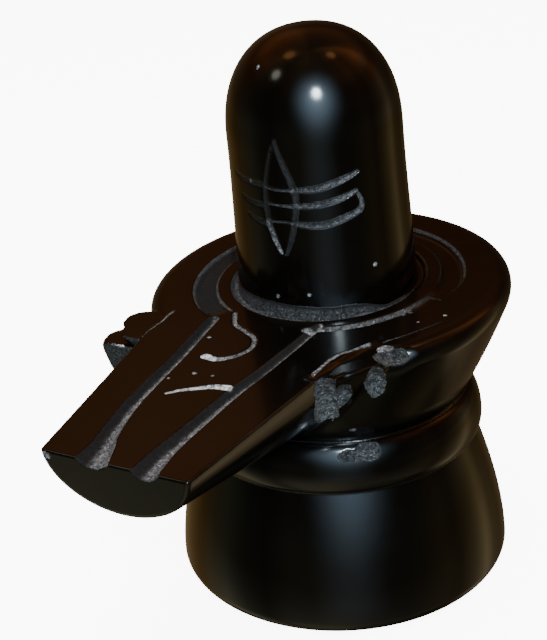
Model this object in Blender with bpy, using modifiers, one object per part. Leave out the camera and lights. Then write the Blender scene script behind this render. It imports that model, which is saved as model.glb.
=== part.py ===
"""A small shiva lingam: linga, yoni with spout, neck ring and pedestal, carved from one block of black stone.

Metres, +Z up. The origin is the centre of the underside, and the spout points to -Y.
"""

import math

import bmesh
import bpy
from mathutils import Matrix, Vector

# Pedestal, from the underside up
FOOT_RADIUS = 0.0388
FOOT_ROUNDING = 0.0030
WAIST_RADIUS = 0.0320
PEDESTAL_HEIGHT = 0.0323
FLARE_BEND_HEIGHT = 0.0150
FLARE_BEND_INSET = 0.0005

# Neck ring between the pedestal and the yoni
RING_HEIGHT = 0.0111
RING_BULGE = 0.0023
NECK_RADIUS = 0.0302

# Yoni: a tapered bowl with a flat top that falls slightly toward the spout
YONI_RADIUS = 0.0402
YONI_HEIGHT = 0.0256
RIM_ROUNDING = 0.0034
BOWL_BULGE = 0.0006
TOP_SLOPE = math.radians(3.8)

# Spout: its centreline lies a little to the left of the linga's axis, as the carver left it
SPOUT_LENGTH = 0.0805
SPOUT_TIP_WIDTH = 0.0320
SPOUT_TAPER = math.radians(8.1)
SPOUT_TIP_DEPTH = 0.0110
SPOUT_UNDERSIDE_SLOPE = math.radians(14)
SPOUT_OFFSET = 0.0031
SPOUT_STEP = 0.00003
SPOUT_ROOT_INSET = 0.0080

# Shoulder knobs, one on each side between the bowl and the spout
KNOB_RADIUS = 0.0047
KNOB_REACH = 0.0323
KNOB_REAR = 0.0256
KNOB_FRONT = 0.0376
KNOB_LOBE_SPACING = 0.0039
KNOB_FRONT_INSET = 0.0021
KNOB_DEPTH = 0.0220
KNOB_STEP = 0.0007
KNOB_TAPER = 0.60
KNOB_LEAN = 0.0128
KNOB_LEAN_BACK = 0.0055

# Linga: a slightly tapered shaft with a domed top
LINGA_HEIGHT = 0.0560
LINGA_FOOT_RADIUS = 0.0199
LINGA_DOME_RADIUS = 0.01885
DOME_HEIGHT = 0.0224
DOME_FULLNESS = 2.26
LINGA_LEAN = math.radians(1.7)

# Carving on the yoni's top
FOOT_GROOVE_WIDTH = 0.0018
FOOT_GROOVE_DEPTH = 0.0010
FOOT_GROOVE_WALL = 0.0004
MOAT_RADIUS = 0.0277
MOAT_WIDTH = 0.0050
MOAT_DEPTH = 0.0013
MOAT_NARROW_RADIUS = 0.0257
MOAT_NARROW_WIDTH = 0.0020
MOAT_NARROW_DEPTH = 0.0009
MOAT_START = math.radians(-74)
MOAT_END = math.radians(246)
MOAT_WIDENS_AT = math.radians(-42)
MOAT_WIDENS_OVER = math.radians(56)
CHANNEL_START = 0.0270
CHANNEL_ROOT_OFFSET = 0.0114
CHANNEL_TIP_OFFSET = 0.0053
CHANNEL_WIDTH = 0.0024
CHANNEL_TIP_WIDTH = 0.0038
CHANNEL_MOUTH_WIDTH = 0.0064
CHANNEL_MOUTH_LENGTH = 0.0070
CHANNEL_DEPTH = 0.0014
ENGRAVING_WIDTH = 0.0013
ENGRAVING_DEPTH = 0.0005
HOOK_START = (-0.0112, -0.0224)
HOOK_CENTRE = (-0.0063, -0.0352)
HOOK_RADIUS = 0.0061
HOOK_TAIL_WIDTH = 0.0024
STROKE_START = (-0.0073, -0.0555)
STROKE_LENGTH = 0.0115
STROKE_RISE = 0.0055
STROKE_THIN_WIDTH = 0.0007
STROKE_BROAD_WIDTH = 0.0020

# Carving on the linga: three stripes, and an upright almond eye that crosses them, above the spout
STRIPE_HEIGHT = 0.0259
STRIPE_SPACING = 0.0037
STRIPE_MIDDLE = math.radians(8)
STRIPE_REACH = math.radians(50)
STRIPE_REACH_LEFT = math.radians(35)
STRIPE_RISE = 0.0021
STRIPE_WIDTH = 0.0012
STRIPE_DEPTH = 0.0004
EYE_CENTRE = math.radians(2.5)
EYE_MIDDLE_HEIGHT = 0.0241
EYE_HEIGHT = 0.0243
EYE_WIDTH = 0.0070
EYE_TIP_GAP = 0.04

# Chips
RING_CHIP_LENGTH = 0.0100
RING_CHIP_WIDTH = 0.0054
RING_CHIP_ANGLE = math.radians(35)
RING_CHIP_PLACE = 0.76
RING_CHIP_DEPTH = 0.0010
CHIP_BALL_DEPTH = 0.0030
CORNER_CHIP = 0.0018

# How finely the curves are divided
TURNED_STEPS = 64
LINGA_STEPS = 52
BROAD_TUBE_LEVEL = 3
FINE_TUBE_LEVEL = 2
OVERLAP = 0.0030

NECK_HEIGHT = PEDESTAL_HEIGHT + RING_HEIGHT
YONI_TOP = NECK_HEIGHT + YONI_HEIGHT
YONI_FRAME = Matrix.Translation((0, 0, YONI_TOP)) @ Matrix.Rotation(TOP_SLOPE, 4, "X")
LINGA_FRAME = Matrix.Translation((0, 0, YONI_TOP - OVERLAP)) @ Matrix.Rotation(-LINGA_LEAN, 4, "Y")


def mix(first, last, share):
    return first + (last - first) * share


def smooth_step(share):
    share = min(max(share, 0), 1)
    return share * share * (3 - 2 * share)


def clear_scene():
    for obj in list(bpy.data.objects):
        bpy.data.objects.remove(obj, do_unlink=True)


def new_collection(name):
    collection = bpy.data.collections.new(name)
    bpy.context.scene.collection.children.link(collection)
    return collection


def add_object(name, mesh, collection, frame=None):
    obj = bpy.data.objects.new(name, mesh)
    collection.objects.link(obj)
    if frame is not None:
        obj.matrix_world = frame
    return obj


def make_cutter(obj):
    obj.hide_render = True
    obj.display_type = "WIRE"
    return obj


def black_stone():
    material = bpy.data.materials.new("black_stone")
    material.use_nodes = True
    shader = material.node_tree.nodes["Principled BSDF"]
    shader.inputs["Base Color"].default_value = (0.020, 0.017, 0.016, 1)
    shader.inputs["Roughness"].default_value = 0.22
    shader.inputs["Metallic"].default_value = 0.0
    return material


def turned(name, profile, steps, collection, frame=None):
    """A solid of revolution from (radius, height) points that run from the top's centre to the bottom's."""
    mesh = bpy.data.meshes.new(name)
    points = [(radius, 0, height) for radius, height in profile]
    mesh.from_pydata(points, [(i, i + 1) for i in range(len(points) - 1)], [])
    obj = add_object(name, mesh, collection, frame)
    screw = obj.modifiers.new("turn", "SCREW")
    screw.steps = steps
    screw.render_steps = steps
    screw.use_merge_vertices = True
    screw.merge_threshold = 0.00001
    screw.use_smooth_shade = True
    return obj


def loft(name, rings, collection, frame=None):
    """A closed solid through rings that have the same number of points, capped at both ends."""
    shape = bmesh.new()
    loops = [[shape.verts.new(point) for point in ring] for ring in rings]
    count = len(rings[0])
    for near, far in zip(loops, loops[1:]):
        for i in range(count):
            j = (i + 1) % count
            shape.faces.new((near[i], near[j], far[j], far[i]))
    shape.faces.new(loops[0][::-1])
    shape.faces.new(loops[-1])
    bmesh.ops.recalc_face_normals(shape, faces=shape.faces)
    mesh = bpy.data.meshes.new(name)
    shape.to_mesh(mesh)
    shape.free()
    return add_object(name, mesh, collection, frame)


def ring_radius(share):
    """The neck ring's radius at a share of its height."""
    round_part = math.sin(math.acos(2 * share - 1))
    return mix(WAIST_RADIUS, NECK_RADIUS, share) + RING_BULGE * round_part


def pedestal_profile():
    profile = [(0, NECK_HEIGHT + OVERLAP / 2), (NECK_RADIUS - OVERLAP, NECK_HEIGHT + OVERLAP / 2)]
    for i in range(9):
        share = (1 + math.cos(math.pi * i / 8)) / 2
        profile.append((ring_radius(share), mix(PEDESTAL_HEIGHT, NECK_HEIGHT, share)))
    waist = Vector((WAIST_RADIUS, PEDESTAL_HEIGHT))
    bend = Vector((FOOT_RADIUS - FLARE_BEND_INSET, FLARE_BEND_HEIGHT))
    foot = Vector((FOOT_RADIUS, FOOT_ROUNDING))
    for i in range(1, 8):
        share = i / 7
        profile.append(tuple(mix(mix(waist, bend, share), mix(bend, foot, share), share)))
    for i in range(1, 4):
        turn = math.radians(30 * i)
        inset = FOOT_ROUNDING * (1 - math.cos(turn))
        profile.append((FOOT_RADIUS - inset, FOOT_ROUNDING * (1 - math.sin(turn))))
    profile.append((0, 0))
    return profile


def bowl_profile():
    """The yoni without its spout, as (radius, height) points from the top's centre down, where the top is at 0.

    The top is sunk as far as the outer wall of the groove around the linga's foot.
    The linga fills the rest.
    """
    groove_radius = LINGA_FOOT_RADIUS + FOOT_GROOVE_WIDTH
    profile = [(groove_radius - FOOT_GROOVE_WALL, -FOOT_GROOVE_DEPTH), (groove_radius, 0)]
    for i in range(6):
        turn = math.radians(18 * i)
        radius = YONI_RADIUS - RIM_ROUNDING * (1 - math.sin(turn))
        profile.append((radius, RIM_ROUNDING * (math.cos(turn) - 1)))
    for i in range(1, 5):
        share = i / 4
        radius = mix(YONI_RADIUS, NECK_RADIUS, share) + BOWL_BULGE * math.sin(math.pi * share)
        profile.append((radius, mix(-RIM_ROUNDING, -YONI_HEIGHT, share)))
    profile.append((NECK_RADIUS - OVERLAP / 2, -YONI_HEIGHT - OVERLAP))
    return profile


def bowl_rings():
    """The bowl's sections: level and central at the neck, sloping toward the spout at the top."""
    rings = []
    for radius, height in bowl_profile():
        share = max(1 + height / YONI_HEIGHT, 0)
        ring = []
        for i in range(TURNED_STEPS):
            angle = math.tau * (i + 0.5) / TURNED_STEPS
            x, y = radius * math.cos(angle), radius * math.sin(angle)
            ring.append((x, y, YONI_TOP + height + share * y * math.tan(TOP_SLOPE)))
        rings.append(ring)
    return rings


def linga_radius(height):
    """The linga's radius at a height above the yoni's top."""
    spring = LINGA_HEIGHT - DOME_HEIGHT
    if height <= spring:
        return mix(LINGA_FOOT_RADIUS, LINGA_DOME_RADIUS, height / spring)
    share = min((height - spring) / DOME_HEIGHT, 1)
    return LINGA_DOME_RADIUS * (1 - share**DOME_FULLNESS) ** (1 / DOME_FULLNESS)


def linga_profile():
    """The linga from its top's centre down, in its own frame, whose origin is inside the yoni."""
    spring = LINGA_HEIGHT - DOME_HEIGHT
    profile = []
    for i in range(13):
        share = math.cos(math.pi / 2 * i / 12)
        height = spring + DOME_HEIGHT * share ** (2 / DOME_FULLNESS)
        profile.append((linga_radius(height) if i else 0, height + OVERLAP))
    profile.append((LINGA_FOOT_RADIUS, OVERLAP))
    profile.append((LINGA_FOOT_RADIUS, 0))
    profile.append((0, 0))
    return profile


def spout_half_width(along):
    """Half the spout's width at a distance from the linga's axis."""
    return SPOUT_TIP_WIDTH / 2 + (SPOUT_LENGTH - along) * math.tan(SPOUT_TAPER)


def spout_rings():
    """Sections of the spout: flat on top and rounded below, deeper toward the neck."""
    rings = []
    root = NECK_RADIUS - SPOUT_ROOT_INSET
    for i in range(6):
        along = mix(root, SPOUT_LENGTH, i / 5)
        half = spout_half_width(along)
        depth = SPOUT_TIP_DEPTH + (SPOUT_LENGTH - along) * math.tan(SPOUT_UNDERSIDE_SLOPE)
        ring = []
        for j in range(19):
            turn = math.pi * j / 18
            sag = -SPOUT_STEP - depth * math.sin(turn)
            ring.append((half * math.cos(turn) - SPOUT_OFFSET, -along, sag))
        rings.append(ring)
    return rings


def knob_outline():
    """The right knob seen from above: a rear and a front lobe that meet in a notch, and a flat front.

    The last two points close it inside the stone.
    """
    rear = Vector((KNOB_REACH - KNOB_RADIUS, -KNOB_REAR - KNOB_RADIUS))
    front = rear - Vector((KNOB_FRONT_INSET, KNOB_LOBE_SPACING))
    apart = front - rear
    half_turn = math.acos(apart.length / 2 / KNOB_RADIUS)
    toward_front = math.atan2(apart.y, apart.x)
    front_end = math.asin((-KNOB_FRONT - front.y) / KNOB_RADIUS)
    points = []
    for i in range(9):
        turn = mix(math.radians(110), toward_front + half_turn, i / 8)
        points.append(rear + KNOB_RADIUS * Vector((math.cos(turn), math.sin(turn))))
    for i in range(1, 6):
        turn = mix(toward_front + math.pi - half_turn, front_end, i / 5)
        points.append(front + KNOB_RADIUS * Vector((math.cos(turn), math.sin(turn))))
    root = spout_half_width(KNOB_FRONT) - OVERLAP
    points.append(Vector((root, -KNOB_FRONT)))
    points.append(Vector((root, -KNOB_REAR - KNOB_RADIUS / 2)))
    return points


def knob_rings(side):
    """A shoulder knob: its full outline on top, which tapers down and back into the bowl's wall."""
    anchor = Vector((spout_half_width(KNOB_FRONT), -(KNOB_REAR + KNOB_FRONT) / 2))
    outline = knob_outline()
    rings = []
    for share in (0, 1):
        ring = []
        for point in outline:
            spot = anchor + (point - anchor) * (1 - KNOB_TAPER * share)
            spot += Vector((-KNOB_LEAN, KNOB_LEAN_BACK)) * share
            x = side * spot.x - SPOUT_OFFSET * (1 - share)
            ring.append((x, spot.y, -KNOB_STEP - KNOB_DEPTH * share))
        rings.append(ring)
    return rings


def gouge(name, route, collection, frame, level=FINE_TUBE_LEVEL):
    """A cutter that leaves a round-bottomed groove along a route of (point, outward, half width, depth)."""
    curve = bpy.data.curves.new(name, "CURVE")
    curve.dimensions = "3D"
    curve.bevel_depth = 1
    curve.bevel_resolution = level
    curve.use_fill_caps = True
    spline = curve.splines.new("POLY")
    spline.points.add(len(route) - 1)
    for place, (point, outward, half, depth) in zip(spline.points, route):
        radius = (half * half + depth * depth) / (2 * depth)
        place.co = (*(Vector(point) + Vector(outward) * (radius - depth)), 1)
        place.radius = radius
    tube = add_object(name + "_route", curve, collection)
    bpy.context.view_layer.update()
    graph = bpy.context.evaluated_depsgraph_get()
    mesh = bpy.data.meshes.new_from_object(tube.evaluated_get(graph))
    bpy.data.objects.remove(tube, do_unlink=True)
    shape = bmesh.new()
    shape.from_mesh(mesh)
    bmesh.ops.remove_doubles(shape, verts=shape.verts, dist=0.000001)
    bmesh.ops.recalc_face_normals(shape, faces=shape.faces)
    shape.to_mesh(mesh)
    shape.free()
    return make_cutter(add_object(name, mesh, collection, frame))


def tapered_ends(share, least=0.45):
    """How wide an engraved line is along its length: full in the middle, narrow at both ends."""
    return mix(least, 1, smooth_step(5 * min(share, 1 - share)))


def flat_route(points, widths, depth):
    """A route on the yoni's top through (x, y) points."""
    return [((x, y, 0), (0, 0, 1), width / 2, depth) for (x, y), width in zip(points, widths)]


def moat_route():
    """The ring groove: wide on the left and behind, narrow and closer in on the right front."""
    route = []
    for i in range(33):
        angle = mix(MOAT_START, MOAT_END, i / 32)
        share = smooth_step((angle - MOAT_WIDENS_AT) / MOAT_WIDENS_OVER)
        radius = mix(MOAT_NARROW_RADIUS, MOAT_RADIUS, share)
        width = mix(MOAT_NARROW_WIDTH, MOAT_WIDTH, share)
        depth = mix(MOAT_NARROW_DEPTH, MOAT_DEPTH, share)
        point = (radius * math.cos(angle), radius * math.sin(angle), 0)
        route.append((point, (0, 0, 1), width / 2, depth))
    return route


def channel_route(side):
    """One of the two long grooves from the moat to the spout's tip, where its mouth widens."""
    run = SPOUT_LENGTH - CHANNEL_START
    route = []
    for i in range(15):
        along = mix(CHANNEL_START, SPOUT_LENGTH + OVERLAP, i / 14)
        share = (along - CHANNEL_START) / run
        offset = mix(CHANNEL_ROOT_OFFSET, CHANNEL_TIP_OFFSET, share)
        width = mix(CHANNEL_WIDTH, CHANNEL_TIP_WIDTH, smooth_step(share))
        opening = smooth_step((along - SPOUT_LENGTH) / CHANNEL_MOUTH_LENGTH + 1)
        width = mix(width, CHANNEL_MOUTH_WIDTH, opening)
        route.append(((side * offset - SPOUT_OFFSET, -along, 0), (0, 0, 1), width / 2, CHANNEL_DEPTH))
    return route


def hook_route():
    """The hook that leaves the moat's inner edge, bulges to the right and curls back to a broad tail."""
    start, centre = Vector(HOOK_START), Vector(HOOK_CENTRE)
    bend = []
    for i in range(11):
        angle = math.radians(mix(95, -100, i / 10))
        bend.append(centre + HOOK_RADIUS * Vector((math.cos(angle), math.sin(angle))))
    points = [start, mix(start, bend[0], 0.35), mix(start, bend[0], 0.7)] + bend
    widths = []
    for i in range(len(points)):
        share = i / (len(points) - 1)
        widths.append(mix(ENGRAVING_WIDTH, HOOK_TAIL_WIDTH, smooth_step(3 * share - 2)))
    return flat_route(points, widths, ENGRAVING_DEPTH)


def stroke_route():
    """The short stroke between the two channels, thin on the left and broad on the right."""
    points, widths = [], []
    for i in range(7):
        share = i / 6
        x = STROKE_START[0] + STROKE_LENGTH * share
        points.append((x, STROKE_START[1] + STROKE_RISE * math.sin(math.pi / 2 * share)))
        widths.append(mix(STROKE_THIN_WIDTH, STROKE_BROAD_WIDTH, smooth_step(share)))
    return flat_route(points, widths, ENGRAVING_DEPTH)


def linga_route(places, width, depth):
    """A route on the linga through (angle from the spout's side, height above the yoni's top) places."""
    route = []
    last = len(places) - 1
    for i, (angle, height) in enumerate(places):
        outward = (math.sin(angle), -math.cos(angle), 0)
        radius = linga_radius(height)
        point = (radius * outward[0], radius * outward[1], height + OVERLAP)
        route.append((point, outward, width / 2 * tapered_ends(i / last), depth))
    return route


def stripe_places(level):
    """One of the three stripes, from left to right: lowest above the spout and rising to both ends."""
    height = STRIPE_HEIGHT - level * STRIPE_SPACING
    places = []
    for i in range(11):
        angle = mix(-STRIPE_REACH_LEFT, STRIPE_REACH, i / 10)
        share = (angle - STRIPE_MIDDLE) / (STRIPE_REACH - STRIPE_MIDDLE)
        places.append((angle, height + STRIPE_RISE * share**2))
    return places


def joined_stripe_places():
    """The two lower stripes, which meet in a round bend at their right ends."""
    upper, lower = stripe_places(1), stripe_places(2)
    bend_height = (upper[-1][1] + lower[-1][1]) / 2
    bend = []
    for i in range(1, 4):
        turn = math.radians(90 - 45 * i)
        angle = STRIPE_REACH + STRIPE_SPACING / 2 / LINGA_DOME_RADIUS * math.cos(turn)
        bend.append((angle, bend_height + STRIPE_SPACING / 2 * math.sin(turn)))
    return upper + bend + lower[::-1]


def eye_places(side):
    """One side of the upright almond eye, from its upper tip to its lower one."""
    places = []
    for i in range(11):
        share = mix(EYE_TIP_GAP, 1 - EYE_TIP_GAP, i / 10)
        angle = EYE_CENTRE + side * EYE_WIDTH / 2 / LINGA_DOME_RADIUS * math.sin(math.pi * share) ** 0.8
        places.append((angle, EYE_MIDDLE_HEIGHT + EYE_HEIGHT * (0.5 - share)))
    return places


def chip(name, centre, sizes, turn, collection):
    """A cutter that takes a shallow flake: a squashed ball at a place, turned about the vertical."""
    shape = bmesh.new()
    bmesh.ops.create_uvsphere(shape, u_segments=12, v_segments=8, radius=1)
    bmesh.ops.scale(shape, verts=shape.verts, vec=sizes)
    mesh = bpy.data.meshes.new(name)
    shape.to_mesh(mesh)
    shape.free()
    frame = Matrix.Translation(centre) @ Matrix.Rotation(turn, 4, "Z")
    return make_cutter(add_object(name, mesh, collection, frame))


def chips(collection):
    """The flake lost from the neck ring and the small one from the spout's right corner."""
    outward = Vector((math.sin(RING_CHIP_ANGLE), -math.cos(RING_CHIP_ANGLE), 0))
    centre = outward * (ring_radius(RING_CHIP_PLACE) + CHIP_BALL_DEPTH - RING_CHIP_DEPTH)
    centre.z = PEDESTAL_HEIGHT + RING_CHIP_PLACE * RING_HEIGHT
    sizes = (RING_CHIP_LENGTH / 2, CHIP_BALL_DEPTH, RING_CHIP_WIDTH / 2)
    ring_chip = chip("ring_chip", centre, sizes, RING_CHIP_ANGLE, collection)
    corner = YONI_FRAME @ Vector((SPOUT_TIP_WIDTH / 2 - SPOUT_OFFSET, -SPOUT_LENGTH, 0))
    corner_chip = chip("corner_chip", corner, (CORNER_CHIP, CORNER_CHIP * 0.7, CORNER_CHIP), 0, collection)
    return [ring_chip, corner_chip]


def combine(obj, other, operation):
    boolean = obj.modifiers.new(other.name, "BOOLEAN")
    boolean.operation = operation
    boolean.solver = "EXACT"
    boolean.object = other


def build():
    clear_scene()
    parts = new_collection("shiva_lingam")
    helpers = new_collection("cutters")

    body = turned("shiva_lingam", pedestal_profile(), TURNED_STEPS, parts)
    bowl = make_cutter(loft("bowl", bowl_rings(), helpers))
    spout = make_cutter(loft("spout", spout_rings(), helpers, YONI_FRAME))
    shapes = [bowl, spout]
    for side, label in ((-1, "left"), (1, "right")):
        shapes.append(make_cutter(loft(f"knob_{label}", knob_rings(side), helpers, YONI_FRAME)))
    for shape in shapes:
        combine(body, shape, "UNION")

    cuts = [gouge("moat", moat_route(), helpers, YONI_FRAME, BROAD_TUBE_LEVEL)]
    cuts.append(gouge("channel_left", channel_route(-1), helpers, YONI_FRAME, BROAD_TUBE_LEVEL))
    cuts.append(gouge("channel_right", channel_route(1), helpers, YONI_FRAME, BROAD_TUBE_LEVEL))
    cuts.append(gouge("hook", hook_route(), helpers, YONI_FRAME))
    cuts.append(gouge("stroke", stroke_route(), helpers, YONI_FRAME))
    cuts += chips(helpers)
    for cut in cuts:
        combine(body, cut, "DIFFERENCE")

    linga = make_cutter(turned("linga", linga_profile(), LINGA_STEPS, helpers, LINGA_FRAME))
    combine(body, linga, "UNION")
    marks = [("upper_stripe", stripe_places(0)), ("lower_stripes", joined_stripe_places())]
    marks += [("eye_left", eye_places(-1)), ("eye_right", eye_places(1))]
    for name, places in marks:
        mark = gouge(name, linga_route(places, STRIPE_WIDTH, STRIPE_DEPTH), helpers, LINGA_FRAME)
        combine(body, mark, "DIFFERENCE")

    body.data.materials.append(black_stone())


build()
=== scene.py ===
"""The carved lingam with its worn edges, rough cuts and polish, on a pale floor in plain soft light."""

import math

import bmesh
import bpy
import numpy as np
from mathutils import Matrix, Vector

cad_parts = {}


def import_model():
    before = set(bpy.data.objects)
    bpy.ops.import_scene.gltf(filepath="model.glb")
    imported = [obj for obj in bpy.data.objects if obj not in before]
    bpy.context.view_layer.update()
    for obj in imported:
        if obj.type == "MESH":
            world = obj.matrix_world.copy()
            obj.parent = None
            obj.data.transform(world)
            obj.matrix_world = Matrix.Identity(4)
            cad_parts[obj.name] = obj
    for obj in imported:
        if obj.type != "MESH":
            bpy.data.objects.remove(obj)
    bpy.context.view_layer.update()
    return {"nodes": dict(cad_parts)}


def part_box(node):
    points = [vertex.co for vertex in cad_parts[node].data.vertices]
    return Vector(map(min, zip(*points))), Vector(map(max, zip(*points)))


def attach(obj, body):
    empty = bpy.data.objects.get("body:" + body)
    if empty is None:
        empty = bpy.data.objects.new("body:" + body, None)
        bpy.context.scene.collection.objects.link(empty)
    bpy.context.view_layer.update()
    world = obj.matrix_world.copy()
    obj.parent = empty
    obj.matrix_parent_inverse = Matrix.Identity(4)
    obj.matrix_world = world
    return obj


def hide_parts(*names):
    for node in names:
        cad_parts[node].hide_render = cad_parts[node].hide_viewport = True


# Sizes in millimetres, in the part's axes: +Z up, the spout to -Y
FOOT_RADIUS, FOOT_ROUNDING = 38.8, 3.0
WAIST_RADIUS, WAIST_HEIGHT = 32.0, 32.3
FLARE_BEND = (38.3, 15.0)
NECK_RADIUS, NECK_HEIGHT = 30.2, 43.4
RING_BULGE = 2.3
YONI_TOP = 69.0
TOP_SLOPE = math.radians(3.8)
BOWL_EDGE_RADIUS, BOWL_BULGE = 41.7, 0.5
BOWL_STEEPNESS = math.cos(math.radians(24))
NECK_INSET = 1.2
RIM_ROUNDING = 4.8
SPOUT_LENGTH, SPOUT_TIP_WIDTH, SPOUT_TIP_DEPTH = 80.4, 32.0, 11.0
SPOUT_TAPER = math.tan(math.radians(8.1))
SPOUT_DEEPENING = math.tan(math.radians(14))
SPOUT_FULLNESS = 1.95
SPOUT_OFFSET, SPOUT_ROOT = 3.1, 20
SPOUT_EDGE, SPOUT_END_ROUNDING = 0.45, 0.9
EDGE_CHANGES = (-1.5, 2.5)
KNOB_RADIUS, KNOB_DEPTH = 4.7, 22.0
KNOB_STEPS, KNOB_ROUNDINGS = (0.6, 1.0), (0.7, 2.0)
KNOB_BEVEL, KNOB_BEVEL_TURN = 43.3, math.radians(50.2)
KNOB_BEVEL_LOBE = (21.8, 37.5)
KNOB_FRONT, KNOB_FRONT_SLOPE = 38.2, 0.45
KNOB_LOBES = ((27.6, 30.3), (25.5, 34.2))
KNOB_ANCHOR = (22.1, 31.6)
KNOB_TAPER, KNOB_LEAN, KNOB_LEAN_BACK = 0.6, 12.8, 5.5
KNOB_NOTCH, KNOB_BEVEL_NOTCH, KNOB_FOOT_ROUNDING = 0.6, 1.0, 1.0
KNOB_BEVEL_SLOPE, KNOB_BEVEL_TOP, KNOB_FRONT_ROUNDING = 0.6, 2, 0.7
LEFT_LOBE, LEFT_LOBE_RADIUS, LEFT_LOBE_TOP = (28.8, 35.2), 5.2, 2.8
LEFT_LOBE_LEAN, LEFT_LOBE_DEPTH = 0.10, 12.5
LEFT_LOBE_ROUNDING, LEFT_LOBE_FRONT, LEFT_LOBE_FRONT_SLOPE = 0.9, 0.9, 0.3
LEFT_LOBE_FOOT_ROUNDING, LEFT_LOBE_JOIN = 2.0, 0.5
LOBE_BALL, LOBE_BALL_RADIUS = (-31.4, -33.2, 59.8), 4.2
SHOULDER_DROP, SHOULDER_SOFTNESS = 1.2, (-0.9, 0.7)
SHOULDER_SIDES, SHOULDER_START, SHOULDER_RUN = (25.4, 20.0), 26.5, 14.5
SHOULDER_COMES, SHOULDER_GOES = (24, 28), (40, 44)
LINGA_HEIGHT, DOME_HEIGHT = 56.0, 22.4
LINGA_FOOT_RADIUS, LINGA_DOME_RADIUS = 19.9, 18.85
DOME_FULLNESS, SHAFT_SWELL = 2.26, 0.25
LINGA_LEAN = math.radians(1.7)
LINGA_PIVOT = 3.0
FLAKE_HEIGHT, FLAKE_EDGE = 3.0, 0.25

# How softly the forms run into each other
SPOUT_JOIN, KNOB_JOIN, PEDESTAL_JOIN, LINGA_JOIN = 1.2, 0.8, 0.7, 0.3

# Around the linga, by radius, half width and depth: the groove at its foot, and the moat, which is narrow at
# the right front and wide behind
FOOT_GROOVE = (20.6, 1.25, 1.1)
MOAT_RADII, MOAT_HALVES, MOAT_DEPTH = (25.7, 27.6), (0.95, 2.6), 1.2
MOAT_WIDENS, MOAT_FADES = (-42, 14), (226, 242)
# Its stretches: first and last angle, steps, flat share, roughness, the floor's share of that, and tones
MOAT_STRETCHES = [
    (-74, -44, 20, 0.20, 1.00, 1.0, (0.42, 0.38)),
    (-44, -24, 20, 0.20, 1.00, 0.0, (0.38, 0.28)),
    (-24, -8, 20, 0.20, 0.66, 0.0, (0.26, 0.08)),
    (-8, 10, 20, 0.20, 0.00, 1.0, (0.05, 0.05)),
    (9, 140, 60, 0.55, 0.00, 1.0, (0.05, 0.05)),
    (138, 228, 60, 0.55, 0.80, 1.0, (0.05, 0.07)),
    (227, 242, 12, 0.55, 0.15, 1.0, (0.05, 0.05)),
]
OUTER_LINE, INNER_LINE = (30.1, 0.34, 0.2), (25.0, 0.3, 0.1)
# Pits on the top: x, y, radius, depth and tone; and on the linga: angle, height above the floor and radius
TOP_PITS = [
    (-11.1, -33.5, 0.5, 0.25, 0.5),
    (-6.1, -47.5, 0.5, 0.25, 0.5),
    (-2.1, -47.3, 0.4, 0.25, 0.5),
    (-10.1, -50.8, 0.35, 0.25, 0.5),
    (31.9, -10.6, 0.45, 0.25, 0.5),
    (27.8, -15.0, 0.35, 0.2, 0.4),
]
LINGA_PITS = [(-18, 118.7, 0.45), (-20, 96.1, 0.4), (-5, 71.7, 0.45), (16, 72.4, 0.4), (59, 76.9, 0.5)]
LINGA_PIT_DEPTH, PIT_TONE = 0.2, 0.8

MM = 0.001
COARSE_VOXEL, VOXEL, QUICK_VOXEL = 0.85, 0.34, 0.62
COARSE_REACH, FINE_REACH, LAST_REACH = 1.2, 0.6, 0.15
MOST_TRIANGLES = 192000


def mix(first, last, share):
    return first + (last - first) * share


def ramp(value, low, high):
    share = np.clip((value - low) / (high - low), 0, 1)
    return share * share * (3 - 2 * share)


def smooth_min(a, b, reach):
    share = np.clip(0.5 + 0.5 * (b - a) / reach, 0, 1)
    return b + (a - b) * share - reach * share * (1 - share)


def smooth_max(a, b, reach):
    return -smooth_min(-a, -b, reach)


def round_max(a, b, radius):
    """The intersection of two distances with its edge rounded to a radius."""
    over_a, over_b = a + radius, b + radius
    outside = np.hypot(np.maximum(over_a, 0), np.maximum(over_b, 0))
    return outside - radius + np.minimum(np.maximum(over_a, over_b), 0)


def blur(table):
    """Evens out a table in place."""
    for _ in range(2):
        table[1:-1] = (table[:-2] + 2 * table[1:-1] + table[2:]) / 4
        table[:, 1:-1] = (table[:, :-2] + 2 * table[:, 1:-1] + table[:, 2:]) / 4


def waves(points, size, seed, count=10):
    """Smooth unevenness between about -1 and 1, with bumps about `size` across, the same every run."""
    draw = np.random.default_rng(seed)
    total = np.zeros(len(points))
    for _ in range(count):
        direction = draw.normal(size=3)
        direction *= math.tau / size * draw.uniform(0.6, 1.5) / np.linalg.norm(direction)
        total += np.sin(points @ direction + draw.uniform(0, math.tau))
    return total / math.sqrt(count) / 1.2


class Profile:
    """Signed distance to a turned shape, read from a grid of radius and height."""

    def __init__(self, outline, step=0.2):
        outline = np.array(outline, float)
        self.step = step
        self.low = outline.min(axis=0) - 5
        high = outline.max(axis=0) + 5
        radii, heights = (np.arange(self.low[i], high[i], step) for i in (0, 1))
        radius, height = np.meshgrid(radii, heights, indexing="ij")
        nearest = np.full(radius.shape, np.inf)
        inside = np.zeros(radius.shape, bool)
        for (r0, z0), (r1, z1) in zip(outline, np.roll(outline, -1, axis=0)):
            dr, dz = r1 - r0, z1 - z0
            along = np.clip(((radius - r0) * dr + (height - z0) * dz) / (dr * dr + dz * dz), 0, 1)
            nearest = np.minimum(nearest, (radius - r0 - along * dr) ** 2 + (height - z0 - along * dz) ** 2)
            if z0 != z1:
                inside ^= ((z0 > height) != (z1 > height)) & (radius < r0 + (height - z0) / dz * dr)
        self.table = np.where(inside, -1, 1) * np.sqrt(nearest)
        blur(self.table)

    def at(self, radius, height):
        return read_grid(self.table, (radius - self.low[0]) / self.step, (height - self.low[1]) / self.step)


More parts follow.
